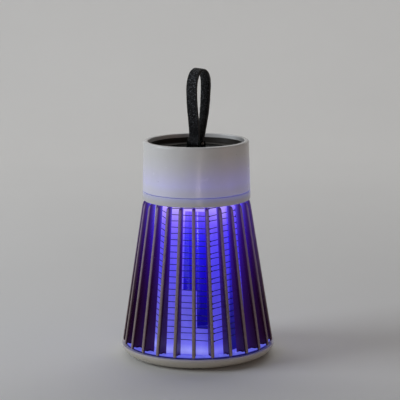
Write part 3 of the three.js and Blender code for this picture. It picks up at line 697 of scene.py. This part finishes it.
def combined(name, base, tools, operation, sharp=38):
    """A mesh cut by, or joined with, other closed shapes."""
    scene = bpy.context.scene.collection
    body = bpy.data.objects.new(name, to_mesh(name, base, sharp))
    scene.objects.link(body)
    helpers = []
    for i, tool in enumerate(tools):
        helper = bpy.data.objects.new(f"{name}_tool_{i}", to_mesh(f"{name}_tool_{i}", tool))
        scene.objects.link(helper)
        helpers.append(helper)
        step = body.modifiers.new(f"step_{i}", "BOOLEAN")
        step.operation = operation[i] if isinstance(operation, (list, tuple)) else operation
        step.solver = "EXACT"
        step.object = helper
    bpy.context.view_layer.update()
    result = bpy.data.meshes.new_from_object(body.evaluated_get(bpy.context.evaluated_depsgraph_get()))
    for each in [body, *helpers]:
        old = each.data
        bpy.data.objects.remove(each)
        bpy.data.meshes.remove(old)
    result.name = name
    result.shade_smooth()
    result.set_sharp_from_angle(angle=math.radians(sharp))
    return result


def piece(name, form, body, material, nodes=(), sharp=38):
    """A visible piece that rides on a body and stands for CAD nodes. Its form is a shape or a mesh."""
    mesh = to_mesh(name, form, sharp) if isinstance(form, tuple) else form
    mesh.materials.clear()
    for each in (material if isinstance(material, (list, tuple)) else [material]):
        mesh.materials.append(each)
    obj = bpy.data.objects.new(name, mesh)
    bpy.context.scene.collection.objects.link(obj)
    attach(obj, body)
    if nodes:
        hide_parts(*nodes)
    return obj


def dress(node, material, bevel=0.0):
    """A CAD node that stays: a better material, and its edges broken."""
    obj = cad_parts[node]
    obj.data.materials.clear()
    obj.data.materials.append(material)
    if bevel:
        edge = obj.modifiers.new("edge", "BEVEL")
        edge.width = bevel * MM
        edge.segments = 2
        edge.limit_method = "ANGLE"
        edge.angle_limit = math.radians(40)
    return obj


def cylinder(radius, bottom, top, edge, segments):
    profile = fillet([(0, bottom), (radius, bottom, edge), (radius, top, edge), (0, top)], closed=False, steps=3)
    return lathe(profile, closed=False, segments=segments)


# ---------------- the pieces
# Darker copies of the head's white plastic: painted shade on the tray and the collar, and on the tray also a
# painted warm reflection.
TRAY_SHADED_WHITE = white_plastic("tray_white_painted_shade", tray_glow, (0.58, 0.54, 0.45, 1))
COLLAR_SHADED_WHITE = white_plastic("collar_white_painted_shade", collar_glow, (0.64, 0.63, 0.61, 1))
SLAT = slat_plastic()
RING = ring_plastic()
STEEL = drawn_steel("wire_steel", (0.11, 0.11, 0.15, 1))
PIN_STEEL = drawn_steel("pin_steel", (0.23, 0.215, 0.20, 1), (0.30, 0.46))
CHARCOAL = charcoal_plastic()
BLACK = gloss_black()
BOARD = circuit_board()
FROST = frosted_plastic()


def make_tray():
    foot, inside, floor, hollow = 36.5, 45.4, 1.8, 0.35
    wall = TRAY_TOP - 0.4
    side = [(foot + (TRAY_RADIUS - foot) * math.sin(turn), wall * (1 - math.cos(turn)))
            for turn in quarter_turn(24)]
    profile = [(0, hollow), (foot - 1.6, hollow), (foot - 1.2, 0)] + side
    profile += fillet([
        side[-1], (TRAY_RADIUS, TRAY_TOP, 0.35), (RING_OUTER, TRAY_TOP, 0.4), (inside, TRAY_TOP - 2, 0.6),
        (inside, floor, 0.7), (0, floor)], closed=False)[1:]
    shape = lathe(profile, closed=False, segments=192)
    piece("collection_tray_shell", shape, "tray", TRAY_SHADED_WHITE, ["collection_tray"])


def make_base_ring():
    inner, spigot = 43.2, 45.0
    under = RING_TOP - 1.2
    profile = fillet([
        (inner, SPIGOT_FOOT, 0.3), (spigot, SPIGOT_FOOT, 0.5), (spigot, under, 0.2), (RING_OUTER, under, 0.2),
        (RING_OUTER, RING_TOP, 0.35), (inner, RING_TOP, 0.3)])
    piece("base_ring_flange", lathe(profile, segments=192), "lamp", RING, ["base_ring"])


def make_slats():
    heel, shoulder = 42.9, 3.4
    high_radius = SLAT_FOOT_RADIUS - SLAT_SLOPE * (SLAT_TOP - shoulder - SLAT_STRAIGHT)
    toe_bottom = SLAT_BOTTOM + 1.2
    outline = fillet([
        (SLAT_INNER_FOOT, SLAT_BOTTOM, 0.4), (heel, SLAT_BOTTOM, 0.3), (heel, RING_TOP + 0.3),
        (RING_OUTER + 0.3, RING_TOP + 0.3), (RING_OUTER + 0.3, toe_bottom, 0.2),
        (SLAT_FOOT_RADIUS, toe_bottom, 0.9), (SLAT_FOOT_RADIUS, SLAT_STRAIGHT, 2.0),
        (high_radius, SLAT_TOP - shoulder, 1.0),
        (high_radius - 0.9, SLAT_TOP - 0.9, 1.6), (high_radius - shoulder, SLAT_TOP, 0.8),
        (SLAT_INNER_TOP, SLAT_TOP, 0.3)])
    shape = plate(outline, SLAT_THICKNESS, 0.72, 4)
    for i in range(SLAT_COUNT):
        name = f"slat_{i + 1:02d}"
        angle = SLAT_FIRST_ANGLE + 360 * i / SLAT_COUNT
        piece(f"guard_{name}", moved(shape, upright(angle)), "lamp", SLAT, [name], 50)


def make_collar():
    web = COLLAR_TOP - 1.8
    bore = 27.5
    profile = fillet([
        (0, web), (bore, web, 0.3), (bore, COLLAR_BOTTOM, 0.3), (COLLAR_RADIUS, COLLAR_BOTTOM, 0.8),
        (COLLAR_RADIUS, COLLAR_TOP, 0.35), (0, COLLAR_TOP)], closed=False)
    holes = []
    sunk = cylinder(2.8, COLLAR_BOTTOM - 2, COLLAR_BOTTOM + 2.1, 0.05, 32)
    bored = cylinder(1.5, COLLAR_BOTTOM, COLLAR_TOP + 1, 0.05, 24)
    for angle in SCREW_ANGLES:
        holes += [moved(shape, shift(angle, SCREW_CIRCLE)) for shape in (sunk, bored)]
    lead_hole = cylinder(1.1, COLLAR_BOTTOM, COLLAR_TOP + 1, 0.05, 20)
    holes += [moved(lead_hole, shift(angle, LEAD_CIRCLE)) for angle in LEAD_ANGLES]
    mesh = combined("collar_ring", lathe(profile, closed=False), holes, "DIFFERENCE")
    piece("collar_ring", mesh, "lamp", COLLAR_SHADED_WHITE, ["collar"])


def make_head():
    bore, rim, ledge_top, ledge = 32.4, 31.2, 134.1, 29.8
    profile = fillet([
        (bore, HEAD_BOTTOM, 0.2), (HEAD_RADIUS, HEAD_BOTTOM, 0.4), (HEAD_TOP_RADIUS, HEAD_TOP, 1.6),
        (rim, HEAD_TOP, 0.8), (rim, ledge_top), (ledge, ledge_top), (ledge, ledge_top - 0.8), (bore, 131.5)],
        steps=7)
    boss = cylinder(2.9, HEAD_BOTTOM + 0.01, 119, 0.3, 32)
    thread = cylinder(1.5, HEAD_BOTTOM - 1, 117.3, 0.05, 24)
    tools = [moved(shape, shift(angle, SCREW_CIRCLE)) for shape in (boss, thread) for angle in SCREW_ANGLES]
    kinds = ["UNION"] * 3 + ["DIFFERENCE"] * 5
    to_back = Matrix.Rotation(math.radians(-90), 4, "X")
    tools.append(moved(moved(cylinder(4.3, 29, 37, 0.05, 64), to_back), Matrix.Translation((0, 0, BUTTON_HEIGHT))))
    slot = fillet([(-4.75, -1.9, 1.6), (4.75, -1.9, 1.6), (4.75, 1.9, 1.6), (-4.75, 1.9, 1.6)], steps=8)
    usb = (low("usb_socket") + high("usb_socket")) / 2
    lying = Matrix.Translation((0, 33.5, usb)) @ Matrix.Rotation(math.radians(90), 4, "X")
    tools.append(moved(plate(slot, 9, 0.05, 1), lying))
    mesh = combined("head_shell_white", lathe(profile), tools, kinds)
    piece("head_shell_white", mesh, "lamp", white_plastic("head_white", head_glow), ["head_shell"])


def make_panel():
    floor = PANEL_BASE + 1.6
    hole = 21.1
    profile = fillet([
        (hole, PANEL_BASE, 0.2), (PANEL_OUTER, PANEL_BASE, 0.2), (PANEL_OUTER, PANEL_RIM, 0.45),
        (PANEL_OUTER - 1.0, PANEL_RIM, 0.45), (PANEL_OUTER - 1.4, floor, 0.9), (hole, floor, 0.35)])
    piece("top_panel_dish", lathe(profile), "lamp", CHARCOAL, ["top_panel"])


def make_cap():
    cap_top = 136.3
    profile = fillet([
        (0, PANEL_BASE), (CAP_RADIUS, PANEL_BASE, 0.2), (CAP_RADIUS, cap_top, 0.5), (0, cap_top)], closed=False)
    lug_top = PIN_HEIGHT + PIN_RADIUS + 1.2
    half_depth, offset = 2.2, STRAP_WIDTH / 2 + 1.3
    root = cap_top - 0.8
    outline = fillet([
        (-half_depth - 0.5, root - PIN_HEIGHT), (half_depth + 0.5, root - PIN_HEIGHT),
        (half_depth, lug_top - PIN_HEIGHT, 2.1), (-half_depth, lug_top - PIN_HEIGHT, 2.1)], steps=8)
    turned = Matrix.Rotation(math.radians(STRAP_TURN), 4, "Z") @ Matrix.Rotation(math.radians(90), 4, "X")
    at = Matrix.Translation((0, 0, PIN_HEIGHT)) @ turned
    lug = plate(outline, 2.0, 0.35, 3)
    tools = [moved(lug, at @ Matrix.Translation((0, 0, side * offset))) for side in (-1, 1)]
    tools.append(moved(cylinder(PIN_RADIUS + 0.3, -10, 10, 0.05, 32), at))
    kinds = ("UNION", "UNION", "DIFFERENCE")
    mesh = combined("centre_cap_disc", lathe(profile, closed=False), tools, kinds)
    piece("centre_cap_disc", mesh, "lamp", BLACK, ["centre_cap"])
    length = STRAP_WIDTH + 5.2
    pin = moved(cylinder(PIN_RADIUS, -length / 2, length / 2, 0.35, 40), at)
    piece("strap_pin_rod", pin, "lamp", PIN_STEEL, ["strap_pin"])


# One turn of the strap: place along the loop's breadth, height above the pin, and the angle
# that its width points to. Its left side goes up, its right side comes down.
STRAP_PATH = (
    (-1.85, 0.0, 41), (-1.55, 4.0, 41), (-1.9, 8.0, 41), (-2.8, 14.0, 41), (-3.9, 20.0, 41), (-4.9, 27.0, 41),
    (-5.5, 34.0, 41), (-5.3, 39.5, 40), (-4.2, 43.7, 39), (-2.3, 46.3, 38), (0.1, 47.2, 37), (2.5, 46.2, 37),
    (4.4, 43.4, 36), (5.35, 39.4, 36), (5.6, 34.0, 35), (5.65, 27.0, 34), (5.35, 20.0, 31), (4.8, 14.0, 28),
    (4.0, 8.0, 27), (3.0, 4.0, 29), (1.95, 0.0, 34), (1.38, -1.38, 36), (0.0, -1.95, 38), (-1.38, -1.38, 40))


def smooth_loop(points, per_step):
    """A closed Catmull-Rom curve through points of any dimension."""
    made = []
    count = len(points)
    for i in range(count):
        a, b, c, d = (points[(i + k) % count] for k in (-1, 0, 1, 2))
        for k in range(per_step):
            t = k / per_step
            made.append(tuple(
                0.5 * (2 * q + (r - p) * t + (2 * p - 5 * q + 4 * r - s) * t * t + (3 * q - p - 3 * r + s) * t ** 3)
                for p, q, r, s in zip(a, b, c, d)))
    return made


def strap_section(width, thickness, steps=30):
    """The strap's cross-section from edge to edge and back: domed faces with rounded edges."""
    edge = thickness * 0.46
    outline = fillet([
        (-width / 2, -thickness / 2, edge), (width / 2, -thickness / 2, edge),
        (width / 2, thickness / 2, edge), (-width / 2, thickness / 2, edge)], steps=4)
    filled = []
    for i, (x, y) in enumerate(outline):
        filled.append((x, y))
        ahead = outline[(i + 1) % len(outline)]
        if abs(ahead[0] - x) > 2:
            filled += [(x + (ahead[0] - x) * k / steps, y) for k in range(1, steps)]
    return [(x, y * (1 + 0.10 * (1 - (2 * x / width) ** 2))) for x, y in filled]


# Blender seeds noise_vector from the clock unless a seed other than 0 is set.
noise.seed_set(1)


def pebble(place):
    """How far the leather's grain stands up at a place on it: rounded pebbles with creases between, -1 to 0."""
    warp = noise.noise_vector(place * 0.9) * 0.30
    near = noise.voronoi(place / 1.25 + warp)[0]
    crease = min(1.0, (near[1] - near[0]) / 0.42)
    return -(1 - crease) ** 2


def make_strap():
    thickness = 1.25
    lean = math.radians(4)
    outward = Vector((math.cos(math.radians(STRAP_TURN)), math.sin(math.radians(STRAP_TURN)), 0))
    up = Vector((0, 0, 1))
    along = outward * math.cos(lean) - up * math.sin(lean)
    rise = up * math.cos(lean) + outward * math.sin(lean)
    path = smooth_loop(STRAP_PATH, 14)
    centres = [along * s + rise * h + up * PIN_HEIGHT for s, h, _ in path]
    section = strap_section(STRAP_WIDTH, thickness)
    size = len(section)
    verts = []
    run = 0.0
    for i, (s, h, angle) in enumerate(path):
        ahead = (centres[(i + 1) % len(path)] - centres[i - 1]).normalized()
        run += (centres[i] - centres[i - 1]).length
        turn = math.radians(angle)
        width = Vector((math.sin(turn), -math.cos(turn), 0))
        width = (width - ahead * width.dot(ahead)).normalized()
        through = ahead.cross(width)
        for x, y in section:
            flat = min(1.0, (STRAP_WIDTH / 2 - abs(x)) / 0.6)
            sunk = pebble(Vector((run, x, 3.0 if y > 0 else 9.0))) * 0.22 * max(0.0, flat)
            bent = 0.10 * noise.noise(Vector((run / 7, x / 9, 5.0)))
            verts.append(centres[i] + width * x + through * (y + math.copysign(sunk, y) + bent))
    mesh = to_mesh("strap_leather", (verts, skin(len(path), size, closed=True)), 80)
    piece("strap_leather", mesh, "strap", [leather(), leather_edge()], ["strap"])
    for face in mesh.polygons:
        across = section[face.vertices[0] % size][0]
        face.material_index = 1 if abs(across) > STRAP_WIDTH / 2 - thickness * 0.42 else 0


def grid_corner(height):
    """How far the frame's corners, and the wires on them, stand from the axis at that height."""
    return GRID_TOP_CORNER + GRID_TAPER * (GRID_TOP - height)


def wire_height(i):
    return WIRE_FOOT + WIRE_PITCH * i + (WIRE_OFFSET if i % 2 else 0.0)


def wire_hoop(i):
    """One hexagonal turn of wire, its corners lifted and dropped in turn and thickened where it is bent."""
    height = wire_height(i)
    sway = 0.28 if i % 2 else -0.28
    radius = grid_corner(height)
    corners = [around(GRID_ANGLE + 60 * k, radius, height + (-sway if k % 2 else sway)) for k in range(6)]
    points = []
    for k, corner in enumerate(corners):
        back = (corners[k - 1] - corner).normalized()
        on = (corners[(k + 1) % 6] - corner).normalized()
        for step in (-2, -1, 0, 1, 2):
            reach_out = abs(step) * 0.35
            pull = (2 - abs(step)) * 0.10
            lead = back if step < 0 else on
            points.append(corner + lead * reach_out + (back + on) * pull)
        for share in (0.25, 0.5, 0.75):
            points.append(corner.lerp(corners[(k + 1) % 6], share))
    bends = [tube([corner + (corners[k - 1] - corner).normalized() * 0.6, corner,
                   corner + (corners[(k + 1) % 6] - corner).normalized() * 0.6], 0.52, 10)
             for k, corner in enumerate(corners)]
    return together(tube(points, 0.24, 10, closed=True), *bends)


def make_electrode(name, parity, angle):
    """Every second wire, and the upright rod outside them that joins them by short stubs."""
    wires = range(parity, WIRE_COUNT, 2)
    heights = [wire_height(i) for i in wires]
    bus = [around(angle, grid_corner(h) + 1.3, h) for h in (heights[0] - 0.6, heights[-1] + 0.6)]
    parts = [wire_hoop(i) for i in wires] + [tube([bus[0], bus[0].lerp(bus[1], 0.5), bus[1]], 0.42, 14)]
    for h in heights:
        corner = grid_corner(h)
        parts.append(tube([around(angle, corner + 0.15, h), around(angle, corner + 1.2, h)], 0.3, 10))
    piece(f"{name}_wires", together(*parts), "lamp", STEEL, [name], 50)


def make_combs():
    """Notched ribs on the frame's corners, which space the wires."""
    notch, half, root = 0.62, 0.75, 1.6
    last = WIRE_COUNT - 1
    outline = []
    for i in range(WIRE_COUNT):
        h = wire_height(i)
        r = grid_corner(h) - notch
        outline += [(r, h - half), (r, h + half)] if i else [(r, h + half)]
        if i < last:
            mid = (h + wire_height(i + 1)) / 2
            outline.append((grid_corner(mid) - 0.02, mid))
    top_h, foot_h = wire_height(last) + half, wire_height(0) + half
    outline += [(grid_corner(top_h) - root, top_h + 0.8), (grid_corner(foot_h) - root, foot_h - 0.8)]
    rib = plate(outline, 0.9, 0.12, 1)
    shapes = [moved(rib, upright(GRID_ANGLE + 60 * k)) for k in range(6)]
    piece("grid_frame_combs", together(*shapes), "lamp", FROST, sharp=30)


def make_column():
    bore, floor = 9.6, COLUMN_BOTTOM + 2
    profile = fillet([
        (0, COLUMN_BOTTOM), (COLUMN_RADIUS, COLUMN_BOTTOM, 0.8), (COLUMN_RADIUS, COLUMN_TOP, 0.3),
        (bore, COLUMN_TOP, 0.2), (bore, floor, 0.3), (0, floor)], closed=False)
    shape = lathe(profile, closed=False, segments=96)
    piece("core_column_tube", shape, "lamp", column_plastic(), ["core_column"])


def make_lights():
    lens = lamp_lens()
    for i in range(6):
        node = f"uv_led_{i + 1}"
        lo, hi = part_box(node)
        centre = (lo + hi) / 2 / MM
        radius = 2.5
        tip, seat = lo.z / MM, hi.z / MM
        dome = [(radius * math.sin(turn), tip + radius * (1 - math.cos(turn))) for turn in quarter_turn(10)]
        rim = [(radius, seat - 1.2), (radius + 0.35, seat - 1.0), (radius + 0.35, seat), (0, seat)]
        shape = moved(lathe(dome + rim, closed=False, segments=40), Matrix.Translation((centre.x, centre.y, 0)))
        piece(f"{node}_lens", shape, "lamp", lens, [node])


def make_button():
    stem, flange, cap = 1.5, 5.2, 4.0
    stem_end, flange_back, flange_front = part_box("power_button")[0].y / MM, 29.2, 30.6
    profile = fillet([
        (0, stem_end), (stem, stem_end, 0.3), (stem, flange_back, 0.2), (flange, flange_back, 0.3),
        (flange, flange_front, 0.3), (cap, flange_front, 0.2), (cap, BUTTON_FACE, 0.7),
        (2.6, BUTTON_FACE - 0.05, 1.5), (1.2, BUTTON_FACE - 0.35, 1.5), (0, BUTTON_FACE - 0.4)], closed=False)
    turn = Matrix.Translation((0, 0, BUTTON_HEIGHT)) @ Matrix.Rotation(math.radians(-90), 4, "X")
    shape = moved(lathe(profile, closed=False, segments=72), turn)
    piece("power_button_cap", shape, "button", CHARCOAL, ["power_button"])


def make_screws():
    head, shank, rise = 2.5, 1.2, 1.5
    zinc = drawn_steel("screw_zinc", (0.62, 0.62, 0.60, 1), (0.25, 0.45))
    for i, angle in enumerate(SCREW_ANGLES):
        node = f"head_screw_{i + 1}"
        foot, tip = low(node), high(node)
        profile = [(0, foot), (head, foot, 0.5), (head, foot + rise, 0.1), (shank, foot + rise)]
        level = foot + rise + 0.5
        while level < tip - 1.0:
            profile += [(shank, level), (shank - 0.3, level + 0.35)]
            level += 0.8
        profile += [(0.35, tip - 0.1), (0, tip)]
        body = lathe(fillet(profile, False, 3), closed=False, segments=40)
        at = shift(angle, SCREW_CIRCLE)
        arm = fillet([(-1.3, -0.3), (1.3, -0.3), (1.3, 0.3), (-1.3, 0.3)])
        cross = [moved(plate(arm, 1.6, 0.05, 1), at @ Matrix.Translation((0, 0, foot))
                       @ Matrix.Rotation(math.radians(turn), 4, "Z")) for turn in (20, 110)]
        mesh = combined(f"{node}_cross", moved(body, at), cross, "DIFFERENCE")
        piece(f"{node}_cross", mesh, "lamp", zinc, [node])


def dress_inner_parts():
    dress("grid_frame", FROST, 0.25)
    dress("battery", cell_wrap(), 0.3)
    for node in ("led_board", "main_board", "port_board"):
        dress(node, BOARD, 0.12)
    dress("hv_transformer", moulded("transformer_tape", (0.16, 0.11, 0.03, 1), (0.3, 0.5), 1.2, 0.05), 0.5)
    dress("hv_capacitor", moulded("capacitor_dip", (0.30, 0.055, 0.02, 1), (0.15, 0.3), 2.5, 0.08), 0.9)
    dress("usb_socket", drawn_steel("socket_steel", (0.66, 0.66, 0.67, 1), (0.2, 0.34)), 0.12)
    dress("tact_switch", moulded("switch_black", (0.02, 0.02, 0.021, 1)), 0.2)
    dress("lead_live", moulded("lead_red", (0.42, 0.02, 0.015, 1), (0.35, 0.5), 0.8, 0.03), 0.1)
    dress("lead_return", moulded("lead_black", (0.018, 0.018, 0.019, 1), (0.35, 0.5), 0.8, 0.03), 0.1)


make_tray()
make_base_ring()
make_slats()
make_collar()
make_head()
make_panel()
make_cap()
make_strap()
make_electrode("grid_live", 0, LEAD_ANGLES[0])
make_electrode("grid_return", 1, LEAD_ANGLES[1])
make_combs()
make_column()
make_lights()
make_button()
make_screws()
dress_inner_parts()


# ---------------- stage, light and camera
def make_stage():
    """A pale floor that curves up into a backdrop behind the lamp."""
    half, front, back, bend, wall = 3000, -2600, 1500, 700, 2600
    line = [(front, 0), (back - bend, 0)]
    line += [(back - bend + bend * math.sin(t), bend - bend * math.cos(t)) for t in quarter_turn(24)[1:]]
    line.append((back, wall))
    verts = [(x, y, z) for y, z in line for x in (-half, half)]
    faces = [(2 * i, 2 * i + 1, 2 * i + 3, 2 * i + 2) for i in range(len(line) - 1)]
    mesh = to_mesh("studio_floor", (verts, faces), 60)
    mesh.materials.append(studio_floor())
    floor = bpy.data.objects.new("studio_floor", mesh)
    bpy.context.scene.collection.objects.link(floor)


def soft_light(name, place, aim, size, power, color):
    data = bpy.data.lights.new(name, "AREA")
    data.shape = "RECTANGLE"
    data.size, data.size_y = size
    data.energy = power
    data.color = color
    lamp = bpy.data.objects.new(name, data)
    bpy.context.scene.collection.objects.link(lamp)
    lamp.location = place
    lamp.visible_camera = False
    lamp.rotation_euler = (Vector(aim) - Vector(place)).to_track_quat("-Z", "Y").to_euler()


def make_light():
    world = bpy.data.worlds.new("studio")
    bpy.context.scene.world = world
    world.use_nodes = True
    background = world.node_tree.nodes["Background"]
    background.inputs["Color"].default_value = (0.80, 0.84, 0.92, 1)
    background.inputs["Strength"].default_value = 0.04
    soft_light("key", (-1.10, -0.22, 0.62), (0, 0, 0.10), (0.7, 0.7), 7.2, (0.89, 0.94, 1.0))
    soft_light("overhead", (0.0, 1.15, 1.35), (0, 0.95, 0), (2.6, 1.0), 14, (1.0, 0.99, 0.97))
    soft_light("warm", (1.1, -0.45, 0.30), (0, 0, 0.08), (0.5, 0.5), 0.55, (1.0, 0.62, 0.48))
    soft_light("front", (0.28, -1.45, 0.45), (0, 0, 0.10), (0.10, 0.8), 0.9, (1.0, 0.92, 0.85))
    soft_light("strip", (0.036, -0.45, 0.045), (0, 0, 0.125), (0.03, 0.08), 0.06, (1.0, 0.88, 0.86))


def make_camera():
    """The photograph's view: a long lens 1.1 m away, 12 degrees above the lamp, aimed a little over it."""
    distance, elevation, target = 1.108, math.radians(12), Vector((0, 0, 0.070))
    lens, sensor = 152.44, 36.0
    aim_up, aim_right, roll = math.radians(1.629), math.radians(0.1153), math.radians(-0.488)
    data = bpy.data.cameras.new("camera")
    data.lens = lens
    data.sensor_width = sensor
    data.clip_start, data.clip_end = 0.05, 20
    camera = bpy.data.objects.new("camera", data)
    bpy.context.scene.collection.objects.link(camera)
    camera.location = target + Vector((0, -math.cos(elevation), math.sin(elevation))) * distance
    pitch = elevation - aim_up
    level = math.cos(pitch)
    forward = Vector((math.sin(aim_right) * level, math.cos(aim_right) * level, -math.sin(pitch)))
    camera.rotation_mode = "QUATERNION"
    camera.rotation_quaternion = forward.to_track_quat("-Z", "Y") @ Matrix.Rotation(roll, 3, "Z").to_quaternion()
    bpy.context.scene.camera = camera


make_stage()
make_light()
make_camera()
bpy.context.scene.view_settings.view_transform = "Standard"

bpy.context.view_layer.update()
